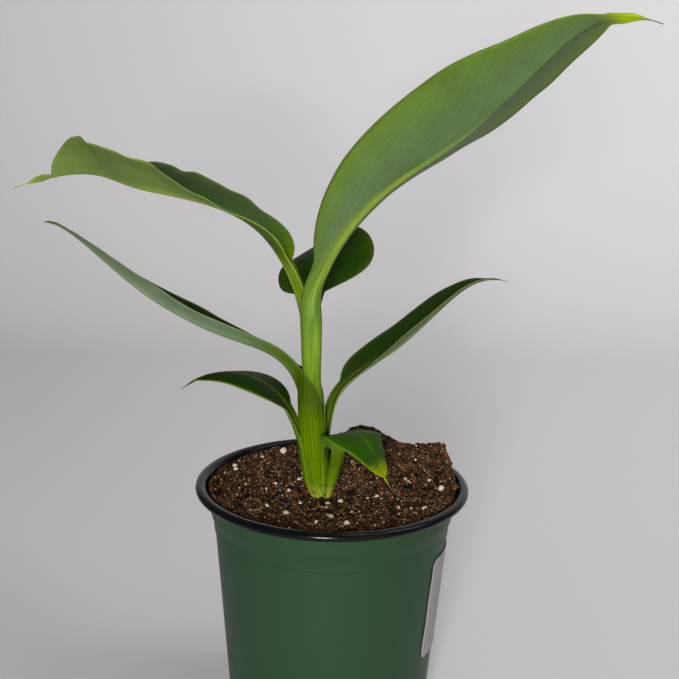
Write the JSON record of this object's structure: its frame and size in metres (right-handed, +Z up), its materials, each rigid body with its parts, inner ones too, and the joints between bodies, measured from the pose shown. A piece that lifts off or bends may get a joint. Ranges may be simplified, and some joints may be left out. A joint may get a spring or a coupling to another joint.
{
  "type": "potted banana plant",
  "caption": "Young banana plant with a leaning green pseudostem and long blades that arch out of it, in a round green nursery pot filled with potting soil.",
  "frame": {"origin": "centre of the pot's flat underside", "axes": "+Z up, +X to the viewer's right towards the tall leaf, +Y away from the viewer"},
  "size_m": [0.3557, 0.2474, 0.3999],
  "materials": {
    "pot": "satin",
    "label": "satin",
    "soil": "matte",
    "stem": "satin",
    "leaf_top_right": "satin",
    "leaf_upper_left": "satin",
    "leaf_back": "satin",
    "leaf_middle_left": "satin",
    "leaf_right": "satin",
    "leaf_low_left": "satin",
    "leaf_low_front": "satin"
  },
  "bodies": {
    "root": {"pot": "pot", "label": "label", "potting_soil": "soil", "pseudostem": "stem", "leaf_top_right": "leaf_top_right", "leaf_upper_left": "leaf_upper_left", "leaf_back": "leaf_back", "leaf_middle_left": "leaf_middle_left", "leaf_right": "leaf_right", "leaf_low_left": "leaf_low_left", "leaf_low_front": "leaf_low_front"}
  },
  "joints": []
}
